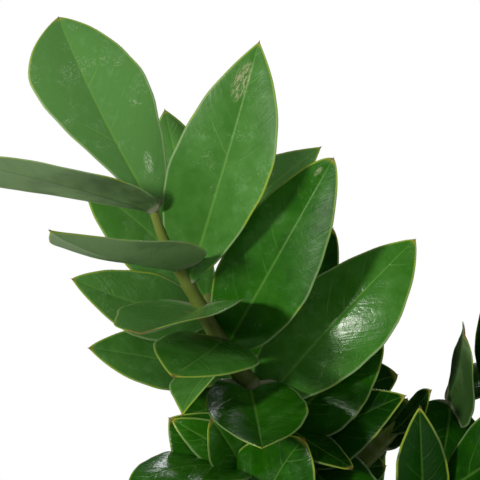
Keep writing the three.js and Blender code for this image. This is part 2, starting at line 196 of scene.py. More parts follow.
POT_LIGHT = (0.360, 0.120, 0.065, 1)
POT_SPECK = (0.150, 0.045, 0.025, 1)
POT_DUST = (0.480, 0.330, 0.250, 1)
SOIL_DARK = (0.012, 0.007, 0.004, 1)
SOIL_PALE = (0.055, 0.030, 0.017, 1)
SOIL_BITS = (0.140, 0.085, 0.050, 1)
CRUMB_DARK = (0.022, 0.011, 0.006, 1)
CRUMB_PALE = (0.110, 0.055, 0.028, 1)
PERLITE_DARK = (0.450, 0.420, 0.370, 1)
PERLITE_PALE = (0.750, 0.730, 0.690, 1)
FLOOR_PALE = (0.780, 0.780, 0.770, 1)
FLOOR_WHITE = (0.820, 0.820, 0.810, 1)

# Roughness, and how fine the patterns are, per metre
TOP_ROUGHNESS = 0.22
UNDER_ROUGHNESS = 0.55
SCUFF_DULLING = 0.16
WAVER_SCALE = 90.0
FADING_SCALE = 150.0
BLOTCH_SCALE = 55.0
PATCH_SCALE = 170.0
BLOOM_AND_SHEEN_SCALE = 240.0
RIPPLE_SCALE = 420.0
GLINT_SCALE = 112.0
CLOUD_SCALE = 38.0
CELL_SCALE = 900.0
DIMPLE_SCALE = 330.0
MOTTLE_SCALE = 320.0
STALK_BLOTCH_SCALE = 60.0
GRAIN_SCALE = 1500.0
POT_CLOUD_SCALE = 25.0
BAND_SCALE = 60.0
SOIL_LUMP_SCALE = 260.0
SOIL_GRAIN_SCALE = 1400.0
FLOOR_CLOUD_SCALE = 3.0

# Studio
FLOOR_RADIUS = 1500
FLOOR_INNER_RADIUS = 400
FLOOR_CENTRE_RADIUS = 1
FLOOR_SIDES = 96
FLOOR_ROUGHNESS = 0.75
WORLD_LIGHT = 0.3
WORLD_GLOSS = 0.03
BACKDROP_LIGHT = 1.0

# Lamps: name, place and aim in metres, size, power and colour
LAMPS = (
    ("key", (-1.09, -1.16, 0.71), (-0.03, -0.02, 0.34), 0.22, 18, (1, 0.97, 0.92)),
    ("window", (0.2, 1.3, 0.98), (-0.03, 0, 0.34), 0.6, 8, (0.97, 0.98, 1)),
    ("fill", (1.3, -0.9, 0.5), (0, 0, 0.3), 1.0, 1.5, (1, 1, 1)),
)

# The pairs of leaflets that most fronds outside the main view have
USUAL_RULE = dict(first=0.36, last=0.9, pairs=5, length=54, end=True)

# The fronds, as in the frame. path: points of the stalk's middle above the soil.
# leaflets: at = share of the path, tip = from the stalk's middle to the tip, face = the way the upper
# side looks, belly = where it is widest, skew = how much nearer the tip one half of it is widest,
# point = how pointed its ends are, nose = how pointed its tip is where that differs, bow = arch along it,
# fold = rise of its edges, sweep = bend to one side, tone = how light its green is, partly the leaflet's
# own green and partly painted light and shade for how lit it stands, scuff = a spot's share of the
# length, place across from -1 to 1, and size: a worn spot, which on the lightest leaflet is a painted
# highlight.
# rules: pairs of leaflets between two shares of the path, inward = the way their upper sides look,
# end = one more leaflet at the stalk's end.
FRONDS = {
    "frond_tall": {
        "path": [
            [12, -6, 118], [14, -6, 170], [13, -8, 215], [7, -9, 255], [-4, -11, 282], [-15, -11, 300],
            [-28, -12, 316], [-38, -18, 332], [-46, -22, 347], [-55, -26, 364], [-59, -28, 376],
        ],
        "leaflets": [
            # The first leaflet's spot, on the lightest leaflet, is a painted highlight in the pale glint
            # colour; the other spots are beige wear.
            dict(at=0.984, tip=[-32.5, 18.5, 64], tone=1.3, width=36.5, face=[0.19, -0.91, 0.36],
                 belly=0.62, skew=0.08, point=0.48, nose=0.77, bow=0.07, fold=0.27, sweep=-0.04,
                 scuff_and_highlight=(0.2, 0.5, 3)),
            dict(at=0.985, tip=[-65, -37.5, 19], tone=1.15, width=30, face=[0.04, 0.4, 0.92],
                 belly=0.5, skew=-0.123, point=0.55, nose=0.65, bow=0.03, fold=0.1, sweep=0.027),
            dict(at=0.814, tip=[23.5, -13.5, 80.5], tone=0.76, width=34.5, face=[-0.36, -0.93, -0.05],
                 belly=0.51, skew=-0.058, point=0.6, nose=0.9, fold=0.31, sweep=0.027,
                 scuff_and_highlight=(0.84, -0.22, 5.5)),
            dict(at=0.845, tip=[-38.5, -63.5, 17], tone=1.2, width=38.5, face=[0, 0.26, 0.97],
                 belly=0.33, skew=-0.06, point=0.77, nose=1.11, bow=-0.02, fold=0.33, sweep=0.04),
            dict(at=0.761, tip=[-18, -61, -2], tone=1.15, width=39, face=[-0.05, -0.01, 1],
                 belly=0.32, skew=0.028, point=0.53, nose=0.31, bow=-0.01, fold=0.37, sweep=-0.017),
            dict(at=0.688, tip=[-14, -64, -4.5], tone=0.68, width=33.5, face=[0.23, -0.12, 0.97],
                 belly=0.6, skew=0.017, point=0.49, nose=0.8, fold=0.15, sweep=-0.066),
            dict(at=0.588, tip=[3.5, -63, -12], tone=0.4, width=33, face=[-0.01, -0.19, 0.98],
                 belly=0.37, skew=0.025, point=0.36, nose=0.95, bow=-0.06, fold=0.36, sweep=-0.013),
            dict(at=0.667, tip=[35.5, -18, 65], tone=0.45, width=32.5, face=[-0.39, -0.92, -0.04],
                 skew=0.004, point=0.75, nose=0.62, fold=0.29, sweep=0.018, scuff_and_highlight=(0.92, -0.35, 1.6)),
            dict(at=0.551, tip=[50, -10, 56], tone=0.64, width=35, face=[-0.41, -0.89, 0.21],
                 belly=0.47, skew=-0.072, point=0.51, nose=0.79, fold=0.01, sweep=0.009),
            dict(at=0.5, tip=[33, -3, 30], tone=0.22, width=30.5, face=[-0.32, -0.91, 0.26],
                 belly=0.41, point=0.66, nose=0.7),
            dict(at=0.449, tip=[34.5, -10.5, 20.5], tone=0.05, width=26.5, face=[-0.48, -0.78, 0.41],
                 belly=0.33, point=0.76, nose=0.81, fold=0.15),
            dict(at=0.502, tip=[22, -27, -10.5], tone=0.15, width=19.5, face=[0.03, -0.33, 0.94],
                 belly=0.3, skew=-0.08, point=0.8, nose=0.57, bow=0.03, fold=0.09, sweep=0.04),
            dict(at=0.419, tip=[27.5, -34, -20], tone=0.2, width=27.5, face=[-0.31, -0.65, 0.69],
                 belly=0.35, skew=-0.03, point=0.71, fold=0.22, sweep=0.03),
            dict(at=0.635, tip=[-17, -33.5, -13], tone=0.75, width=26, face=[-0.43, -0.13, 0.89],
                 belly=0.4, skew=0.02, nose=1.1, bow=0.1, fold=0.35),
        ],
        "rules": [dict(first=0.18, last=0.31, pairs=3, length=42, inward=[0.5, 0.87, 0.3], seed=3)],
    },
    "frond_behind": {
        "path": [
            [4, 26, 118], [6, 30, 200], [4, 31, 250], [-7, 30, 288], [-26, 29, 309], [-39, 28, 332],
            [-44, 28, 353], [-48, 30, 375],
        ],
        "leaflets": [
            dict(at=0.97, tip=[-9, -6, 36], tone=1.05, width=24.5, face=[-0.06, -0.98, -0.17],
                 belly=0.38, nose=0.85),
            dict(at=0.883, tip=[43.5, 11.5, 36], tone=1.2, width=26, face=[-0.04, -0.94, 0.35],
                 belly=0.39, point=0.9, nose=0.94),
            dict(at=0.633, tip=[35.5, 11.5, 45], tone=0.15, width=31, face=[0, -0.97, 0.25],
                 belly=0.48, skew=-0.02, nose=0.68),
            dict(at=0.75, tip=[-42.5, -18, 44], tone=0.8, width=28, face=[0.33, -0.94, -0.04],
                 belly=0.47, skew=0.02, sweep=0.05),
            dict(at=0.717, tip=[-48, -29.5, 17], tone=0.85, width=25, face=[0.58, -0.72, 0.38],
                 belly=0.52, skew=0.03, nose=0.8, sweep=-0.07),
            dict(at=0.583, tip=[-54, -35, 15.5], tone=0.78, width=26.5, face=[0.55, -0.57, 0.61],
                 belly=0.58, skew=0.07, nose=0.82, fold=0.15, sweep=-0.03),
            dict(at=0.69, tip=[-18, -5, 1], tone=0.7, width=17, face=[0, -0.87, 0.5]),
            dict(at=0.452, tip=[35, -5, 21], tone=0.1, width=28, face=[-0.41, -0.75, 0.52],
                 belly=0.51, skew=0.06, nose=0.65, bow=0.08, fold=0.27, sweep=-0.02),
            dict(at=0.533, tip=[-29, -27, -2], tone=0.4, width=28, face=[0, -1, 0.5]),
        ],
        "rules": [dict(first=0.2, last=0.36, pairs=3, length=46, inward=[0.5, 0.87, 0.3], seed=3)],
    },
    "frond_right": {
        "path": [
            [22, 10, 118], [24, 14, 180], [17, 17, 235], [9, 18, 274], [16, 17, 287], [28, 13, 299],
            [45, 7, 307],
        ],
        "leaflets": [
            dict(at=0.739, tip=[14.5, -18.5, 19], tone=0.05, width=14.5, face=[-0.88, -0.35, 0.33],
                 belly=0.61, skew=-0.04, point=0.83, bow=-0.02, fold=0.09, sweep=0.03),
            dict(at=0.69, tip=[11, 2, 17], tone=0.1, width=16, face=[0, -1, 0.5]),
            dict(at=0.972, tip=[3, -27.5, 26.5], tone=0.15, width=28, face=[0.98, 0.16, 0.06],
                 belly=0.28, skew=-0.094, point=0.75, nose=0.31, bow=0.04, fold=0.29, sweep=0.005),
            dict(at=0.975, tip=[-5, -22, -20], tone=0.15, width=24, face=[0.3, -1, 0.4]),
            dict(at=0.56, tip=[11, 4, 1], tone=0.1, width=12, face=[0, -1, 0.5]),
            dict(at=0.97, tip=[34, 24, 13], tone=0.2, width=20, face=[-0.3, -0.6, 1]),
        ],
        "rules": [dict(first=0.18, last=0.34, pairs=3, length=44, inward=[-0.5, -0.87, 0.3], seed=3)],
    },
    "frond_low_front": {
        "path": [
            [-8, -16, 118], [-12, -20, 180], [-20, -19, 240], [-25, -16, 272], [-28, -15, 282],
            [-30, -15, 292],
        ],
        "leaflets": [
            dict(at=0.53, tip=[14.5, -19, 36], tone=0.26, width=35.5, face=[-0.64, -0.76, -0.14],
                 belly=0.49, skew=-0.02, point=0.69, bow=0.08, fold=0.1, sweep=-0.04),
            dict(at=0.817, tip=[-11.5, -12, 22], tone=0.45, width=19.5, face=[0.61, -0.78, -0.1],
                 belly=0.47, skew=0.02, nose=0.65, sweep=0.01),
            dict(at=0.8, tip=[-26, 4, 21], tone=0.25, width=28, face=[0.04, -0.97, 0.23],
                 belly=0.39, skew=-0.01, nose=0.81),
            dict(at=0.949, tip=[-23.5, 1, 13.5], tone=0.45, width=15, face=[0.13, -0.95, 0.28],
                 belly=0.31, skew=-0.02, point=0.77, nose=0.74, fold=0.16, sweep=-0.01),
            dict(at=0.869, tip=[-37.5, -35, -0.5], tone=0.45, width=32.5, face=[0.11, -0.13, 0.99],
                 belly=0.36, skew=0.03, point=0.76, nose=0.71, bow=0.08, fold=0.1, sweep=0.03),
        ],
        "rules": [dict(first=0.26, last=0.46, pairs=3, length=46, inward=[0.94, 0.34, 0.3], seed=3)],
    },
    "frond_far_right": {
        "path": [
            [33, -10, 118], [36, -15, 180], [32, -20, 235], [31, -22, 267], [39, -20, 283], [50, -18, 298],
            [67, -16, 317], [86, -12, 343],
        ],
        "leaflets": [
            dict(at=0.45, tip=[-2.5, -12, 39.5], tone=0.02, width=17.5, face=[-0.05, -0.95, -0.29],
                 nose=0.84),
            dict(at=0.495, tip=[50, -27, 36.5], tone=0.15, width=30, face=[-0.59, -0.77, 0.23],
                 belly=0.51, skew=0.03, point=0.77),
            dict(at=0.86, tip=[-14, 22.5, 22.5], tone=0.05, width=30, face=[-0.64, -0.71, 0.3],
                 belly=0.36, skew=-0.03, nose=0.89, bow=0.03, fold=0.14),
        ],
        "rules": [
            dict(USUAL_RULE, first=0.93, last=0.93, pairs=1, length=44, inward=[-1, -0.6, 0.8], seed=5),
        ],
    },
    "frond_left": {
        "path": [[-26, 2, 118], [-34, 2, 165], [-52, 0, 205], [-80, -2, 235], [-112, -4, 250]],
        "rules": [dict(USUAL_RULE, inward=[1, 0, 1], seed=11)],
    },
    "frond_back_left": {
        "path": [[-20, 24, 118], [-26, 32, 160], [-39, 49, 196], [-58, 72, 218], [-78, 94, 226]],
        "rules": [dict(USUAL_RULE, inward=[0.6, -0.8, 1], seed=23)],
    },
    "frond_back": {
        "path": [[6, 48, 118], [6, 57, 175], [2, 70, 230], [-5, 84, 278], [-14, 98, 312]],
        "rules": [dict(USUAL_RULE, first=0.42, last=0.91, length=50, inward=[0, -1, 0.8], seed=38)],
    },
    "frond_back_right": {
        "path": [[32, 32, 118], [38, 37, 175], [53, 50, 225], [76, 67, 262], [103, 84, 285]],
        "rules": [dict(USUAL_RULE, first=0.38, inward=[-0.8, -0.7, 1], seed=41)],
    },
    "frond_front_right": {
        "path": [[24, -32, 118], [30, -40, 165], [44, -58, 205], [64, -80, 235], [86, -100, 250]],
        "rules": [dict(USUAL_RULE, inward=[-0.7, 0.7, 1], seed=53)],
    },
    "frond_front_left": {
        "path": [[-16, -38, 118], [-22, -46, 165], [-36, -62, 205], [-56, -82, 232], [-80, -100, 246]],
        "rules": [dict(USUAL_RULE, inward=[0.7, 0.7, 1], seed=67)],
    },
}


def unit(vector):
    return np.asarray(vector, float) / np.linalg.norm(vector)


def smooth(low, high, x):
    t = np.clip((np.asarray(x, float) - low) / (high - low), 0, 1)
    return t * t * (3 - 2 * t)


def place_camera():
    camera = bpy.data.objects.new("camera", bpy.data.cameras.new("camera"))
    camera.data.lens = VIEW_LENS
    camera.data.sensor_width = SENSOR
    camera.data.clip_start = NEAREST_SEEN * MM
    camera.data.clip_end = FARTHEST_SEEN * MM
    tilt = math.radians(VIEW_ELEVATION)
    away = Vector((0, -math.cos(tilt), math.sin(tilt)))
    place = (Vector(VIEW_TARGET) + away * VIEW_DISTANCE) * MM
    turn = away.to_track_quat("Z", "Y").to_matrix().to_4x4()
    camera.matrix_world = Matrix.Translation(place) @ turn
    bpy.context.scene.collection.objects.link(camera)
    bpy.context.scene.camera = camera


def mesh_piece(name, points, faces, material, attributes=None):
    """A smooth mesh object at the origin, from points in millimetres and faces of their numbers."""
    mesh = bpy.data.meshes.new(name)
    mesh.from_pydata((np.asarray(points, float) * MM).tolist(), [], faces)
    for key, values in (attributes or {}).items():
        layer = mesh.attributes.new(key, "FLOAT_VECTOR", "POINT")
        layer.data.foreach_set("vector", np.asarray(values, np.float32).ravel())
    mesh.shade_smooth()
    mesh.materials.append(material)
    mesh.update()
    piece = bpy.data.objects.new(name, mesh)
    bpy.context.scene.collection.objects.link(piece)
    return piece


def skin(rings, first=0):
    """Quads between closed rings that each have the same number of points, numbered on from first."""
    count = len(rings[0])
    faces = []
    for i in range(len(rings) - 1):
        for j in range(count):
            a = first + i * count + j
            b = first + i * count + (j + 1) % count
            faces.append((a, b, b + count, a + count))
    return faces


def closed(rings):
    """The points of a stack of rings, and the faces that join them and close both of its ends."""
    points = np.asarray(rings, float).reshape(-1, 3)
    count = len(rings[0])
    ends = [tuple(reversed(range(count))), tuple(range(len(points) - count, len(points)))]
    return points, skin(rings) + ends


def along(path, share):
    """A point on the smooth curve through the path's points, at a share of its length in steps."""
    p = np.asarray(path, float)
    q = np.vstack([2 * p[0] - p[1], p, 2 * p[-1] - p[-2]])
    spans = len(p) - 1
    x = min(max(share, 0), 1) * spans
    i = min(int(x), spans - 1)
    t = x - i
    weights = (
        (-t + 2 * t * t - t**3) / 2,
        (2 - 5 * t * t + 3 * t**3) / 2,
        (t + 4 * t * t - 3 * t**3) / 2,
        (-t * t + t**3) / 2,
    )
    return sum(w * q[i + k] for k, w in enumerate(weights))


def heading(path, share):
    ahead = along(path, min(share + HEADING_STEP, 1))
    return unit(ahead - along(path, max(share - HEADING_STEP, 0)))


def draws(seed):
    """The frame's repeatable stream of numbers between 0 and 1."""
    state = seed
    while True:
        state = (state * DRAW_FACTOR + DRAW_STEP) % DRAW_RANGE
        yield state / DRAW_RANGE


def leaflets_by_rule(path, rule):
    """Pairs of leaflets up a stalk, and one at its end, with the frame's seeded spread."""
    stream = draws(rule["seed"])

    def spread(amount):
        return (2 * next(stream) - 1) * amount

    found = []
    for k in range(rule["pairs"]):
        for hand in (-1, 1):
            step = (rule["last"] - rule["first"]) * k / max(rule["pairs"] - 1, 1)
            at = rule["first"] + step + hand * STAGGER
            forward = heading(path, at)
            look = np.asarray(rule["inward"], float)
            out = unit(look - look @ forward * forward)
            side = np.cross(forward, out) * hand
            angle = math.radians(FORWARD_ANGLE + spread(ANGLE_SPREAD))
            swell = math.sin(math.pi * (k + 1) / (rule["pairs"] + 1))
            grown = SMALLEST_SHARE + (1 - SMALLEST_SHARE) * swell
            size = rule["length"] * (1 - SIZE_SPREAD + spread(SIZE_SPREAD)) * grown
            reach = side * math.cos(angle) + forward * math.sin(angle)
            reach = reach + out * (LIFT + spread(LIFT_SPREAD))
            face = out + side * spread(FACE_SPREAD)
            found.append(dict(at=at, tip=unit(reach) * size, width=size * WIDTH_SHARE, face=face))
    if rule.get("end"):
        size = rule["length"] * END_LEAFLET_SHARE
        tip = heading(path, 1) * size
        found.append(dict(at=END_LEAFLET_AT, tip=tip, width=size * WIDTH_SHARE, face=rule["inward"]))
    return found


def outline(share, belly, point, nose):
    """Half the blade's width at a share of its length, as a share of half its greatest width."""
    power = math.log(0.5) / np.log(belly)
    return np.sin(math.pi * np.minimum(share, NEARLY_ONE) ** power) ** (point + (nose - point) * share)


def vein_phase(s, u, half, length, tone):
    """Whole numbers lie on the side veins, which leave the midrib and curl towards the tip."""
    d = np.abs(u) * half
    lean = d * (VEIN_LEAN + VEIN_CURL * np.abs(u)) / length
    return (s - lean) * VEINS + np.where(u > 0, 0.5, 0) + tone * VEINS


def blade_grid(fine):
    """Shares of the length along a blade, closer at its ends, and places across it from -1 to 1."""
    rows, across = FINE_GRID if fine else COARSE_GRID
    step = np.arange(rows + 1) / rows
    s = np.minimum((1 - np.cos(math.pi * step)) / 2, 1)[:, None]
    t = np.linspace(0, 1, across + 1)
    right = t - COLUMN_CROWDING * np.sin(2 * math.pi * t) / (2 * math.pi)
    return s, np.concatenate([-right[:0:-1], right])[None, :]


def half_widths(leaflet, s, u, phase):
    """Half the blade's width at each place, with a slightly uneven margin and a stub at its root."""
    skew = leaflet.get("skew", 0) * np.where(u < 0, 1, -1)
    point = leaflet.get("point", USUAL_POINT)
    shape = outline(s, leaflet.get("belly", USUAL_BELLY) + skew, point, leaflet.get("nose", point))
    wobble = 1 + EDGE_WOBBLE * np.sin(WOBBLES_ALONG * s + phase + 2 * u)
    wobble = wobble + FINE_WOBBLE_SHARE * EDGE_WOBBLE * np.sin(FINE_WOBBLES_ALONG * s + 3 * phase)
    stub = STUB_HALF * smooth(STUB_REACH, 0, s) + LEAST_HALF
    return np.maximum(leaflet["width"] / 2 * shape * wobble, stub)


def blade_rise(leaflet, s, u, half, phase):
    """How far each place is raised by the fold at the midrib, the cupping and the waved margins."""
    crease = np.sqrt(u * u + CREASE_ROUNDING) - math.sqrt(CREASE_ROUNDING)
    rise = half * (leaflet.get("fold", USUAL_FOLD) * crease - CUP * u * u)
    wave = np.sin(WAVES_ALONG * s + phase + np.where(u < 0, WAVE_LAG, 0))
    return rise + WAVE_HEIGHT * half * u * u * wave


def blade_faces(s, u, half, length, tone):
    """How far the upper and the lower face lie from the blade's middle, and how thick its margin is."""
    d = np.abs(u) * half
    near_tip = smooth(1, 0.7, s)
    past_stub = smooth(0.02, 0.1, s)
    quilt = QUILTING * np.cos(2 * math.pi * vein_phase(s, u, half, length, tone))
    quilt = quilt * past_stub * near_tip * smooth(0, 0.25, np.abs(u)) * smooth(1, 0.6, np.abs(u))
    groove = GROOVE_DEPTH * np.exp(-((d / GROOVE_HALF) ** 2)) * near_tip * past_stub
    keel = KEEL_DEPTH * np.exp(-((d / KEEL_HALF) ** 2)) * (1 - KEEL_TAPER * s)
    thin = MARGIN_THICKNESS + (BLADE_THICKNESS - MARGIN_THICKNESS) * (1 - np.abs(u) ** 3)
    thin = thin * (TIP_THICKNESS_SHARE + (1 - TIP_THICKNESS_SHARE) * smooth(1, 0.85, s))
    thick = thin + STUB_THICKNESS * smooth(STUB_LENGTH * STUB_FLARE / length, 0, s)
    return thick / 2 - groove + quilt, thick / 2 + keel - quilt, thick[:, -1:]


def blade(leaflet, root, fine, rng):
    """Rings round a leaflet, from its stub to its tip, with the numbers that its colours need."""
    # A leaflet's tone sets how light its green is: partly its own green, partly painted light and shade.
    # Leaflets set by rule are lighter higher up the stalk.
    rule_tone = RULE_TONE + TONE_RISE * leaflet["at"] + TONE_SPREAD * rng.random()
    tone = leaflet.get("tone", rule_tone)
    phase = rng.uniform(0, 2 * math.pi)
    length = np.linalg.norm(leaflet["tip"])
    ahead = unit(leaflet["tip"])
    look = np.asarray(leaflet["face"], float)
    out = unit(look - look @ ahead * ahead)
    side = np.cross(ahead, out)
    s, u = blade_grid(fine)
    half = half_widths(leaflet, s, u, phase)
    rise = blade_rise(leaflet, s, u, half, phase)
    above, below, margin = blade_faces(s, u, half, length, tone)
    arch = 4 * s * (1 - s) * length
    middle = (
        np.asarray(root)[None, None, :]
        + ahead * (length * s)[..., None]
        + out * (arch * leaflet.get("bow", USUAL_BOW) + rise)[..., None]
        + side * (arch * leaflet.get("sweep", 0) + u * half)[..., None]
    )
    upper = middle + out * above[..., None]
    lower = middle - out * below[..., None]
    rim_out = side * (margin * RIM_ROUNDING)[..., None]
    rim_right = middle[:, -1:] + rim_out
    rim_left = middle[:, :1] - rim_out
    rings = np.concatenate([upper, rim_right, lower[:, ::-1], rim_left], axis=1)
    ones = np.ones_like(s)
    row = u * ones
    u_all = np.concatenate([row, ones, row[:, ::-1], -ones], axis=1)
    is_upper = np.concatenate([np.ones_like(row), ones / 2, np.zeros_like(row), ones / 2], axis=1)
    half_all = np.concatenate([half, half[:, -1:], half[:, ::-1], half[:, :1]], axis=1)
    place = np.stack([np.broadcast_to(s, u_all.shape), u_all, is_upper], axis=-1)
    size = np.stack([np.full_like(u_all, length), half_all, np.full_like(u_all, tone)], axis=-1)
    return rings, place, size, ahead


def scuff_and_highlight_places(leaflet, where, sizes):
    """How far each point is from the leaflet's spot, along and across, and whether it has one: a worn spot,
    painted as a highlight on the lightest leaflet.
    """
    s, u, spread = leaflet.get("scuff_and_highlight", (0, 0, 0))
    if not spread:
        return np.zeros_like(where)
    along_it = (where[..., 0] - s) * sizes[..., 0] / spread
    across_it = (where[..., 1] - u) * sizes[..., 1] / spread
    return np.stack([along_it, across_it, np.ones_like(along_it)], axis=-1)


def leaflet_mesh(path, leaflets, fine_count, rng):
    """All leaflets of a frond as one mesh. The first fine_count of them get the finer grid."""
    points, faces, place, size, scuffs_and_highlights = [], [], [], [], []
    total = 0
    for number, leaflet in enumerate(leaflets):
        root = along(path, leaflet["at"])
        rings, where, sizes, ahead = blade(leaflet, root, number < fine_count, rng)
        count = rings.shape[1]
        faces += skin(rings, total)
        last = total + (len(rings) - 1) * count
        end = total + len(rings) * count
        tip = rings[-1].mean(axis=0) + ahead * SPIKE_LENGTH
        foot = rings[0].mean(axis=0) - ahead * STUB_END
        for j in range(count):
            k = (j + 1) % count
            faces.append((last + j, last + k, end))
            faces.append((total + k, total + j, end + 1))
        points += [rings.reshape(-1, 3), [tip], [foot]]
        place += [where.reshape(-1, 3), [[1, 0, 0.5]], [[0, 0, 0.5]]]
        size += [sizes.reshape(-1, 3), [sizes[-1, 0]], [sizes[0, 0]]]
        scuffs_and_highlights += [scuff_and_highlight_places(leaflet, where, sizes).reshape(-1, 3), [[0, 0, 0]], [[0, 0, 0]]]
        total = end + 2
    attributes = {"leaf_place": place, "leaf_size": size, "leaf_scuff_and_highlight": scuffs_and_highlights}
    return np.concatenate(points), faces, {key: np.concatenate(rows) for key, rows in attributes.items()}


def stalk_radius(share):
    return TIP_RADIUS + (FOOT_RADIUS - TIP_RADIUS) * (1 - share) ** TAPER


def stalk_mesh(path, nodes):
    """The stalk, from its seat in the soil to its end, a little swollen where leaflets leave it."""
    x, y = path[0][:2]
    shares = np.linspace(0, 1, STALK_RINGS + 1)
    middles = [along(path, share) for share in shares]
    steps = [np.linalg.norm(b - a) for a, b in zip(middles, middles[1:])]
    run = np.concatenate([[0], np.cumsum(steps)])
    node_runs = [np.interp(at, shares, run) for at in nodes]
    rings = [[[x + FOOT_RADIUS * math.cos(a), y + FOOT_RADIUS * math.sin(a), SEAT_HEIGHT] for a in turns()]]
    places = [[0, 0, 0]]
    axis = np.array([1.0, 0, 0])
    for share, middle, at in zip(shares, middles, run):
        forward = heading(path, share)
        up = unit(np.cross(forward, axis))
        axis = unit(np.cross(up, forward))
        near = max(math.exp(-(((at - n) / NODE_LENGTH) ** 2)) for n in node_runs)
        radius = stalk_radius(share) * (1 + NODE_SWELLING * near)
        rings.append([middle + radius * (axis * math.cos(a) + up * math.sin(a)) for a in turns()])
        places.append([share, near, 0])
    rise = forward * stalk_radius(1) * END_CAP_RISE
    rings.append([middle + (np.asarray(p) - middle) * END_CAP_SHARE + rise for p in rings[-1]])
    places.append([1, 1, 0])
    return *closed(rings), {"stalk_place": np.repeat(places, STALK_SIDES, axis=0)}


def turns(count=STALK_SIDES):
    return [2 * math.pi * j / count for j in range(count)]


class Nodes:
    """A material's node tree. A value is a number, a colour or another node's socket."""

    def __init__(self, name):
        self.material = bpy.data.materials.new(name)
        self.material.use_nodes = True
        self.tree = self.material.node_tree
        self.shader = self.tree.nodes["Principled BSDF"]

    def put(self, socket, value):
        if isinstance(value, bpy.types.NodeSocket):
            self.tree.links.new(value, socket)
        else:
            socket.default_value = value

    def add(self, kind, *values, **settings):
        node = self.tree.nodes.new("ShaderNode" + kind)
        for key, value in settings.items():
            setattr(node, key, value)
        for socket, value in zip(node.inputs, values):
            self.put(socket, value)
        return node

    def math(self, operation, *values):
        return self.add("Math", *values, operation=operation).outputs[0]

    def times(self, a, b):
        return self.math("MULTIPLY", a, b)

    def line(self, value, slope, start):
        return self.math("MULTIPLY_ADD", value, slope, start)

    def step(self, low, high, value):
        """0 below low and 1 above high, or the other way round if low is the larger, and smooth between."""
        node = self.add("MapRange", value, interpolation_type="SMOOTHSTEP")
        ends = (low, high, 0.0, 1.0) if low < high else (high, low, 1.0, 0.0)
        for socket, end in zip(node.inputs[1:5], ends):
            socket.default_value = end
        return node.outputs[0]

    def mix(self, factor, a, b):
        node = self.tree.nodes.new("ShaderNodeMix")
        node.data_type = "RGBA"
        self.put(node.inputs["Factor"], factor)
        for socket, colour in zip([s for s in node.inputs if s.type == "RGBA"], (a, b)):
            self.put(socket, colour)
        return next(s for s in node.outputs if s.type == "RGBA")

    def noise(self, vector, scale, detail=2.0, roughness=0.5, distortion=0.0):
        node = self.add("TexNoise")
        self.put(node.inputs["Vector"], vector)
        node.inputs["Scale"].default_value = scale
        node.inputs["Detail"].default_value = detail
        node.inputs["Roughness"].default_value = roughness
        node.inputs["Distortion"].default_value = distortion
        return node.outputs["Fac"]

    def vector(self, x, y, z):
        return self.add("CombineXYZ", x, y, z).outputs[0]

    def parts(self, attribute):
        read = self.add("Attribute", attribute_name=attribute)
        return self.add("SeparateXYZ", read.outputs["Vector"]).outputs

    def place(self):
        return self.add("TexCoord").outputs["Object"]

    def bump(self, height, distance, strength=1.0):
        node = self.add("Bump")
        node.inputs["Strength"].default_value = strength
        node.inputs["Distance"].default_value = distance
        self.put(node.inputs["Height"], height)
        return node.outputs[0]

    def finish(self, colour, roughness, normal=None, **fixed):
        self.put(self.shader.inputs["Base Color"], colour)
        self.put(self.shader.inputs["Roughness"], roughness)
        if normal is not None:
            self.put(self.shader.inputs["Normal"], normal)
        for name, value in fixed.items():
            self.shader.inputs[name.replace("_", " ")].default_value = value
        return self.material


def grey(value):
    return (value, value, value, 1)


class LeafPlace:
    """What a leaf's looks depend on: where a point lies on its leaflet, and the leaflet's tone, which holds
    its own green and painted light and shade for how lit it stands.
    """

    def __init__(self, n):
        self.s, self.u, self.upper = n.parts("leaf_place")
        self.length, self.half, self.tone = n.parts("leaf_size")
        self.off = n.math("ABSOLUTE", self.u)
        self.d = n.times(self.off, self.half)
        self.edge = n.math("SUBTRACT", self.half, self.d)
        self.run = n.times(self.s, self.length)
        self.place = n.place()
        self.blotches = n.noise(self.place, BLOTCH_SCALE, 3.0, 0.55)
        self.patches = n.noise(self.place, PATCH_SCALE, 4.0, 0.55)
        varied = n.math("ADD", self.tone, n.line(self.blotches, 0.3, -0.15))
        self.varied = n.math("ADD", varied, n.line(self.patches, 0.5, -0.25))


def leaf_veins(n, leaf):
    """How strongly a side vein shows, as in vein_phase, and streaks that run with the veins."""
    side = n.math("GREATER_THAN", leaf.u, 0.0)
    curl = n.line(leaf.off, VEIN_CURL, VEIN_LEAN)
    lean = n.times(leaf.d, curl)
    share = n.math("DIVIDE", n.math("SUBTRACT", leaf.run, lean), leaf.length)
    waver = n.times(n.noise(leaf.place, WAVER_SCALE), 0.35)
    phase = n.line(share, VEINS, n.times(side, 0.5))
    phase = n.math("ADD", n.line(leaf.tone, VEINS, phase), waver)
    nearest = n.math("ROUND", phase)
    from_vein = n.math("ABSOLUTE", n.math("SUBTRACT", phase, nearest))
    from_vein = n.times(from_vein, n.math("DIVIDE", leaf.length, VEINS))
    own_place = n.vector(nearest, side, leaf.tone)
    lottery = n.add("TexWhiteNoise", own_place, noise_dimensions="3D").outputs["Value"]
    vein = n.times(n.step(0.55, 0.05, from_vein), n.step(0.25, 0.8, lottery))
    vein = n.times(vein, n.step(0.98, 0.45, leaf.off))
    vein = n.times(vein, n.step(0.3, 0.7, n.noise(leaf.place, FADING_SCALE)))
    streak_place = n.vector(n.times(phase, 3.2), n.times(leaf.d, 0.09), leaf.tone)
    return vein, n.noise(streak_place, 1.0, 3.0, 0.6)


def leaf_midrib(n, leaf):
    half = n.line(leaf.s, -MIDRIB_TAPER, MIDRIB_HALF)
    midrib = n.step(1.0, 0.1, n.math("DIVIDE", leaf.d, half))
    return n.times(midrib, n.step(1.0, 0.9, leaf.s))


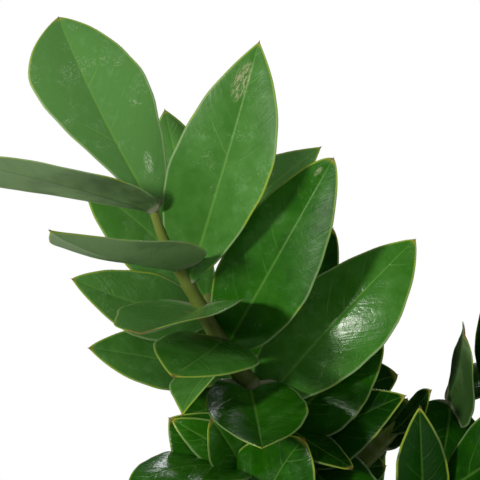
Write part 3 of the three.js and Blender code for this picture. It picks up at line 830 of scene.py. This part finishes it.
def leaf_top(n, leaf, vein, midrib, streaks):
    """The upper side's green: deep to light by the tone, which paints light and shade in part, with waxy
    bloom that is partly a painted sheen, veins and thin pale painted glints.
    """
    tone = leaf.tone
    top = n.mix(n.step(0.0, 0.55, leaf.varied), LEAF_DEEP, LEAF_MID)
    top = n.mix(n.step(0.35, 1.1, leaf.varied), top, LEAF_LIGHT)
    top = n.mix(n.times(n.times(streaks, 0.1), tone), top, LEAF_LIGHT)
    # Waxy bloom, partly a painted sheen: pale patches, stronger on lighter leaflets
    bloom_and_sheen = n.step(0.48, 0.72, n.noise(leaf.place, BLOOM_AND_SHEEN_SCALE, 5.0, 0.65))
    bloom_and_sheen = n.times(bloom_and_sheen, n.step(0.4, 0.65, leaf.blotches))
    top = n.mix(n.times(bloom_and_sheen, n.times(tone, 0.45)), top, BLOOM_AND_SHEEN_GREEN)
    # More of the same on the lightest leaflets: painted sheen
    top = n.mix(n.times(n.step(0.9, 1.3, tone), 0.12), top, BLOOM_AND_SHEEN_GREEN)
    top = n.mix(n.times(vein, n.line(tone, 0.5, 0.14)), top, VEIN_GREEN)
    top = n.mix(n.times(midrib, n.line(tone, 0.35, 0.18)), top, MIDRIB_GREEN)
    # Painted highlights: thin pale glints along the ripples' lines, stronger on lighter leaflets
    ripples = n.noise(leaf.place, RIPPLE_SCALE, 2.0, 0.5, 1.5)
    glint = n.step(0.012, 0.0, n.math("ABSOLUTE", n.math("SUBTRACT", ripples, 0.5)))
    glint = n.times(glint, n.step(0.54, 0.64, n.noise(leaf.place, GLINT_SCALE, 3.0, 0.6)))
    return n.mix(n.times(glint, n.times(tone, 0.6)), top, GLINT_PALE)


def with_scuff_and_highlight(n, leaf, top):
    """The upper side with its spot, beige wear on darker leaflets and a painted highlight on the lightest,
    and 1 on a leaflet that has such a spot.
    """
    along_it, across_it, has_spot = n.parts("leaf_scuff_and_highlight")
    away = n.times(n.times(across_it, across_it), 3.0)
    away = n.line(along_it, n.times(along_it, 0.5), away)
    spot_place = n.vector(n.times(along_it, 3.0), n.times(across_it, 12.0), leaf.tone)
    spot_streaks = n.noise(spot_place, 1.0, 4.0, 0.75)
    scuff_and_highlight = n.math("ADD", spot_streaks, n.step(2.5, 0.0, away))
    scuff_and_highlight = n.times(n.step(0.5, 0.66, scuff_and_highlight), has_spot)
    scuff_and_highlight = n.times(scuff_and_highlight, n.step(1.0, 0.3, away))
    scuff_and_highlight = n.times(scuff_and_highlight, n.step(0.44, 0.6, spot_streaks))
    # Beige wear on darker leaflets; on the lightest, the pale glint colour: a painted highlight
    scuff_and_highlight_colour = n.mix(n.step(0.9, 1.2, leaf.tone), SCUFF_BEIGE, GLINT_PALE)
    return n.mix(n.times(scuff_and_highlight, 0.8), top, scuff_and_highlight_colour), has_spot


def leaf_underside(n, leaf, midrib):
    """The dull underside, paler towards the tip and in clouds."""
    clouds = n.step(0.35, 0.65, n.noise(leaf.place, CLOUD_SCALE, 3.0, 0.6))
    clouds = n.line(clouds, 0.6, -0.2)
    clouds = n.math("ADD", clouds, n.line(leaf.s, 1.2, -0.8))
    pale = n.step(-0.1, 1.2, n.math("ADD", leaf.varied, clouds))
    return n.mix(n.times(midrib, 0.5), n.mix(pale, UNDER_DEEP, UNDER_LIGHT), UNDER_MIDRIB)


def leaf_ends(n, leaf, colour):
    """The pale or yellow margin, the dry point and the grey stub, over the colour of the faces."""
    margin = n.times(n.step(0.85, 0.3, leaf.edge), n.step(0.03, 0.15, leaf.s))
    yellow = n.math("MAXIMUM", n.step(0.5, 0.62, leaf.blotches), n.step(0.5, 1.0, leaf.s))
    rim = n.mix(yellow, MARGIN_PALE, MARGIN_YELLOW)
    rim_share = n.math("MAXIMUM", n.times(yellow, 0.75), n.line(leaf.tone, 0.5, 0.28))
    colour = n.mix(n.times(margin, rim_share), colour, rim)
    from_tip = n.math("SUBTRACT", leaf.length, leaf.run)
    colour = n.mix(n.times(n.step(2.2, 0.4, from_tip), 0.6), colour, TIP_YELLOW)
    colour = n.mix(n.times(n.step(0.7, 0.2, from_tip), 0.8), colour, TIP_BROWN)
    return n.mix(n.step(3.2, 1.5, leaf.run), colour, STUB_GREY)


def leaf_material():
    n = Nodes("zz_leaf")
    leaf = LeafPlace(n)
    vein, streaks = leaf_veins(n, leaf)
    midrib = leaf_midrib(n, leaf)
    top, has_spot = with_scuff_and_highlight(n, leaf, leaf_top(n, leaf, vein, midrib, streaks))
    on_top = n.step(0.4, 0.6, leaf.upper)
    colour = leaf_ends(n, leaf, n.mix(on_top, leaf_underside(n, leaf, midrib), top))
    shine = n.times(n.step(0.42, 0.66, streaks), n.step(0.35, 0.6, leaf.patches))
    rough_top = n.line(shine, -0.07, n.line(has_spot, SCUFF_DULLING, TOP_ROUGHNESS))
    roughness = n.mix(on_top, grey(UNDER_ROUGHNESS), rough_top)
    height = n.line(vein, -0.4, n.times(streaks, 0.5))
    height = n.line(n.noise(leaf.place, CELL_SCALE, 2.0, 0.6), 0.06, height)
    height = n.line(n.noise(leaf.place, DIMPLE_SCALE, 3.0, 0.6, 0.6), 0.55, height)
    return n.finish(colour, roughness, n.bump(height, 0.0003, 0.7), Specular_IOR_Level=0.12)


def stalk_material():
    n = Nodes("zz_stalk")
    share, near = n.parts("stalk_place")[:2]
    place = n.place()
    mottle = n.noise(place, MOTTLE_SCALE, 3.0, 0.6)
    blotch = n.noise(place, STALK_BLOTCH_SCALE, 2.0)
    green = n.mix(blotch, STALK_GREEN, STALK_OLIVE)
    colour = n.mix(n.step(0.55, 1.0, share), green, STALK_TAN)
    speck = n.times(n.step(0.56, 0.66, mottle), n.step(0.95, 0.2, share))
    colour = n.mix(speck, colour, STALK_SPECK)
    ring = n.times(n.step(0.6, 1.0, near), n.step(0.35, 0.65, blotch))
    colour = n.mix(n.times(ring, 0.6), colour, NODE_GREY)
    roughness = n.line(mottle, 0.2, 0.34)
    return n.finish(colour, roughness, n.bump(mottle, 0.0003, 0.5), Specular_IOR_Level=0.2)


def pot_material():
    n = Nodes("zz_pot")
    place = n.place()
    grain = n.noise(place, GRAIN_SCALE, 2.0, 0.6)
    cloud = n.noise(place, POT_CLOUD_SCALE, 3.0)
    colour = n.mix(cloud, POT_DEEP, POT_LIGHT)
    colour = n.mix(n.times(n.step(0.6, 0.75, grain), 0.35), colour, POT_SPECK)
    height = n.add("SeparateXYZ", place).outputs[2]
    bands = n.noise(n.vector(0.0, 0.0, height), BAND_SCALE)
    dust = n.times(n.step(0.015, 0.0, height), n.step(0.4, 0.6, cloud))
    colour = n.mix(n.times(dust, 0.35), colour, POT_DUST)
    roughness = n.line(grain, 0.2, n.line(bands, 0.08, 0.42))
    return n.finish(colour, roughness, n.bump(grain, 0.0002, 0.5))


def soil_material(name, dark, pale, bits):
    n = Nodes(name)
    place = n.place()
    lumps = n.noise(place, SOIL_LUMP_SCALE, 4.0, 0.65)
    fine = n.noise(place, SOIL_GRAIN_SCALE, 3.0, 0.7)
    colour = n.mix(lumps, dark, pale)
    colour = n.mix(n.times(n.step(0.62, 0.7, fine), 0.6), colour, bits)
    return n.finish(colour, n.line(fine, 0.1, 0.86), n.bump(fine, 0.0006, 0.8))


def lathe(profile, sides):
    """Rings of a turned shape, from its profile of radius and height."""
    return [[[r * math.cos(a), r * math.sin(a), z] for a in turns(sides)] for r, z in profile]


def arc(centre, radius, start, end, steps=6):
    """Points of a rounded corner in a profile, from one angle to another in degrees."""
    angles = [math.radians(start + (end - start) * k / steps) for k in range(steps + 1)]
    return [(centre[0] + radius * math.cos(a), centre[1] + radius * math.sin(a)) for a in angles]


def pot_outer(z):
    """The pot's outer radius at a height, under its rim."""
    return pot_inner(z) + POT_WALL


def pot_inner(z):
    return POT_FOOT_RADIUS + (POT_MOUTH_RADIUS - POT_FOOT_RADIUS) * z / POT_HEIGHT - POT_WALL


def pot_profile():
    """Radius and height round the pot's section: foot, wall, rolled rim, inside and floor."""
    rim_foot = POT_HEIGHT - RIM_HEIGHT
    rim = POT_MOUTH_RADIUS + RIM_OVERHANG
    mouth = pot_inner(POT_HEIGHT) + MOUTH_ROUNDING
    corner = pot_inner(POT_FLOOR) - FLOOR_ROUNDING
    first, last = WALL_END_GAPS
    profile = [(AXIS_RADIUS, 0), (POT_FOOT_RADIUS - FOOT_ROUNDING, 0)]
    profile += arc((pot_outer(FOOT_ROUNDING) - FOOT_ROUNDING, FOOT_ROUNDING), FOOT_ROUNDING, -80, 0)
    for z in np.linspace(FOOT_ROUNDING + first, rim_foot - last, OUTSIDE_ROWS):
        profile.append((pot_outer(z) - ring_depth(z, rim_foot), z))
    profile.append((pot_outer(rim_foot) + RIM_FILLET[0], rim_foot - RIM_FILLET[1]))
    profile += arc((rim - RIM_FOOT_ROUNDING, rim_foot + RIM_FOOT_ROUNDING), RIM_FOOT_ROUNDING, -90, 0)
    profile += arc((rim - RIM_TOP_ROUNDING, POT_HEIGHT - RIM_TOP_ROUNDING), RIM_TOP_ROUNDING, 0, 90)
    profile += arc((mouth, POT_HEIGHT - MOUTH_ROUNDING), MOUTH_ROUNDING, 90, 180)
    for z in np.linspace(POT_HEIGHT - first, POT_FLOOR + last, INSIDE_ROWS):
        profile.append((pot_inner(z), z))
    profile += arc((corner, POT_FLOOR + FLOOR_ROUNDING), FLOOR_ROUNDING, 0, -90)
    return profile + [(AXIS_RADIUS, POT_FLOOR)]


def pot_piece(material):
    """The pot: rounded foot, tapered wall with two shallow rings, rolled rim, and drainage holes."""
    piece = mesh_piece("pot_body", *closed(lathe(pot_profile(), POT_SIDES)), material)
    for k in range(DRAIN_COUNT):
        turn = 2 * math.pi * (k + 0.5) / DRAIN_COUNT
        cut_drain(piece, DRAIN_CIRCLE * math.cos(turn), DRAIN_CIRCLE * math.sin(turn))
    return piece


def ring_depth(z, rim_foot):
    """How deep the pot's wall is pressed in at a height, by two shallow rings under the rim."""
    rings = [(z - rim_foot + below) / POT_RING_HALF for below in POT_RINGS_BELOW_RIM]
    return sum(POT_RING_DEPTH * math.exp(-(away**2)) for away in rings)


def cut_drain(piece, x, y):
    circle = [(x + DRAIN_RADIUS * math.cos(a), y + DRAIN_RADIUS * math.sin(a)) for a in turns(DRAIN_SIDES)]
    rings = [[(*point, z) for point in circle] for z in (-POT_FLOOR, 2 * POT_FLOOR)]
    cutter = mesh_piece("drain_cutter", *closed(rings), piece.data.materials[0])
    cut = piece.modifiers.new("drain", "BOOLEAN")
    cut.operation = "DIFFERENCE"
    cut.solver = "EXACT"
    cut.object = cutter
    apply_modifiers(piece)
    bpy.data.objects.remove(cutter)


def apply_modifiers(piece):
    seen = piece.evaluated_get(bpy.context.evaluated_depsgraph_get())
    mesh = bpy.data.meshes.new_from_object(seen)
    piece.modifiers.clear()
    piece.data = mesh


def soil_height(x, y, share):
    squared = math.sin(x * CRUMB_WAVES[0] + 1) * math.cos(y * CRUMB_WAVES[1])
    slanted = math.sin(x * SLANTED_CRUMB_WAVES[0] - y * SLANTED_CRUMB_WAVES[1])
    crumbs = squared + SLANTED_CRUMB_SHARE * slanted
    return SOIL_EDGE_HEIGHT + SOIL_DOME * (1 - share * share) + SOIL_RELIEF * crumbs * (1 - share**4)


def soil_piece(material):
    """The soil: its rough top, its wall against the pot and its flat bottom."""
    low = POT_FLOOR + SOIL_GAP
    rng = random.Random(SOIL_SEED)
    rings = lathe([(SOIL_MIDDLE_RADIUS, low), (pot_inner(low) - SOIL_GAP, low)], SOIL_SIDES)
    edge = pot_inner(SOIL_EDGE_HEIGHT) - SOIL_GAP
    wave_x, wave_y = SOIL_LUMP_WAVES
    for k in range(SOIL_RINGS):
        share = 1 - k / SOIL_RINGS
        ring = []
        for a in turns(SOIL_SIDES):
            x, y = edge * share * math.cos(a), edge * share * math.sin(a)
            grain = rng.uniform(-SOIL_GRAIN, SOIL_GRAIN)
            lumps = SOIL_LUMP_HEIGHT * math.sin(x * wave_x + y) * math.cos(y * wave_y - x)
            rough = (grain + lumps) * (1 - share**6)
            ring.append([x, y, soil_height(x, y, share) + rough - SOIL_SINK])
        rings.append(ring)
    return mesh_piece("soil_bed", *closed(rings), material)


def scatter(name, material, stems, count, sizes, flatness, seed):
    """Rough little lumps on the soil's top, half sunk in it and clear of the stalks."""
    rng = random.Random(seed)
    edge = pot_inner(SOIL_EDGE_HEIGHT) - WALL_CLEARANCE
    points, faces = [], []
    corners, sides = lump()
    while count:
        share = math.sqrt(rng.random())
        turn = rng.uniform(0, 2 * math.pi)
        x, y = edge * share * math.cos(turn), edge * share * math.sin(turn)
        if min(math.hypot(x - a, y - b) for a, b in stems) < FOOT_RADIUS + STALK_CLEARANCE:
            continue
        count -= 1
        size = rng.uniform(*sizes) * rng.uniform(SMALLEST_LUMP_SHARE, 1)
        spin = Matrix.Rotation(rng.uniform(0, 2 * math.pi), 3, "Z")
        swing = spin @ Matrix.Rotation(rng.uniform(-LUMP_TILT, LUMP_TILT), 3, "X")
        stretch = Vector((rng.uniform(*LUMP_STRETCH), rng.uniform(*LUMP_SQUEEZE), rng.uniform(*flatness)))
        centre = Vector((x, y, soil_height(x, y, share) + size * LUMP_RISE))
        first = len(points)
        for corner in corners:
            rough = Vector(corner) * rng.uniform(*LUMP_ROUGHNESS) * size / 2
            points.append(centre + swing @ (rough * stretch))
        faces += [tuple(first + i for i in side) for side in sides]
    piece = mesh_piece(name, [tuple(p) for p in points], faces, material)
    piece.data.shade_flat()
    return piece


def lump():
    """Corners and faces of a unit lump: a cube with its faces raised into a rough ball."""
    ends = (-LUMP_CORNER, LUMP_CORNER)
    corners = [(x, y, z) for x in ends for y in ends for z in ends]
    middles = [(1, 0, 0), (-1, 0, 0), (0, 1, 0), (0, -1, 0), (0, 0, 1), (0, 0, -1)]
    rims = [(4, 6, 7, 5), (0, 1, 3, 2), (2, 3, 7, 6), (0, 4, 5, 1), (1, 5, 7, 3), (0, 2, 6, 4)]
    faces = [(rim[k], rim[(k + 1) % 4], 8 + m) for m, rim in enumerate(rims) for k in range(4)]
    return corners + middles, faces


def settle(piece, node):
    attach(piece, "root")
    if node:
        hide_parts(node)


def light(name, place, aim, size, power, colour):
    lamp = bpy.data.lights.new(name, "AREA")
    lamp.shape = "DISK"
    lamp.size = size
    lamp.energy = power
    lamp.color = colour
    holder = bpy.data.objects.new(name, lamp)
    direction = Vector(place) - Vector(aim)
    turn = direction.to_track_quat("Z", "Y").to_matrix().to_4x4()
    holder.matrix_world = Matrix.Translation(Vector(place)) @ turn
    bpy.context.scene.collection.objects.link(holder)


def floor_piece():
    n = Nodes("studio_floor")
    cloud = n.noise(n.place(), FLOOR_CLOUD_SCALE)
    material = n.finish(n.mix(cloud, FLOOR_PALE, FLOOR_WHITE), FLOOR_ROUGHNESS)
    rings = lathe([(FLOOR_CENTRE_RADIUS, 0), (FLOOR_INNER_RADIUS, 0), (FLOOR_RADIUS, 0)], FLOOR_SIDES)
    points = np.asarray(rings, float).reshape(-1, 3)
    faces = skin(rings) + [tuple(reversed(range(FLOOR_SIDES)))]
    floor = mesh_piece("studio_floor", points, faces, material)
    floor.data.flip_normals()
    return floor


def surround():
    """A white backdrop that lights the plant softly and shows little in its gloss."""
    world = bpy.data.worlds.new("studio")
    world.use_nodes = True
    tree = world.node_tree
    background = tree.nodes["Background"]
    rays = tree.nodes.new("ShaderNodeLightPath").outputs
    strength = WORLD_LIGHT
    for ray, value in (("Is Glossy Ray", WORLD_GLOSS), ("Is Camera Ray", BACKDROP_LIGHT)):
        blend = tree.nodes.new("ShaderNodeMix")
        tree.links.new(rays[ray], blend.inputs["Factor"])
        if isinstance(strength, float):
            blend.inputs["A"].default_value = strength
        else:
            tree.links.new(strength, blend.inputs["A"])
        blend.inputs["B"].default_value = value
        strength = blend.outputs["Result"]
    tree.links.new(strength, background.inputs["Strength"])
    background.inputs["Color"].default_value = grey(1)
    bpy.context.scene.world = world


def studio():
    """A pale floor, a white surround and soft lamps."""
    floor_piece()
    surround()
    for lamp in LAMPS:
        light(*lamp)
    bpy.context.scene.view_settings.view_transform = "Standard"


def build():
    leaf, stalk = leaf_material(), stalk_material()
    settle(pot_piece(pot_material()), "pot")
    settle(soil_piece(soil_material("zz_soil", SOIL_DARK, SOIL_PALE, SOIL_BITS)), "soil")
    stems = [frond["path"][0][:2] for frond in FRONDS.values()]
    crumbs = soil_material("zz_crumbs", CRUMB_DARK, CRUMB_PALE, SOIL_BITS)
    settle(scatter("soil_crumbs", crumbs, stems, **CRUMBS), None)
    perlite = soil_material("zz_perlite", PERLITE_DARK, PERLITE_PALE, PERLITE_PALE)
    settle(scatter("soil_perlite", perlite, stems, **PERLITE), None)
    for number, (name, frond) in enumerate(FRONDS.items()):
        rng = random.Random(FROND_SEED + number)
        path, own = frond["path"], frond.get("leaflets", [])
        leaflets = own + [leaflet for rule in frond["rules"] for leaflet in leaflets_by_rule(path, rule)]
        points, faces, attributes = stalk_mesh(path, sorted(leaflet["at"] for leaflet in leaflets))
        settle(mesh_piece(name + "_stalk", points, faces, stalk, attributes), name)
        points, faces, attributes = leaflet_mesh(path, leaflets, len(own), rng)
        settle(mesh_piece(name + "_leaflets", points, faces, leaf, attributes), name)


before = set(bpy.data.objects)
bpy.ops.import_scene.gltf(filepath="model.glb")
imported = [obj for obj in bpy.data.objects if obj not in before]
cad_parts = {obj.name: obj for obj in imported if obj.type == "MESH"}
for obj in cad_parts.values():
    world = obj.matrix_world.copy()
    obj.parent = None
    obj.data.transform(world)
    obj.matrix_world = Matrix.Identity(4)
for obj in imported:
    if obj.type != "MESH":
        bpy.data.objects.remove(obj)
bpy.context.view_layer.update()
place_camera()
build()
studio()
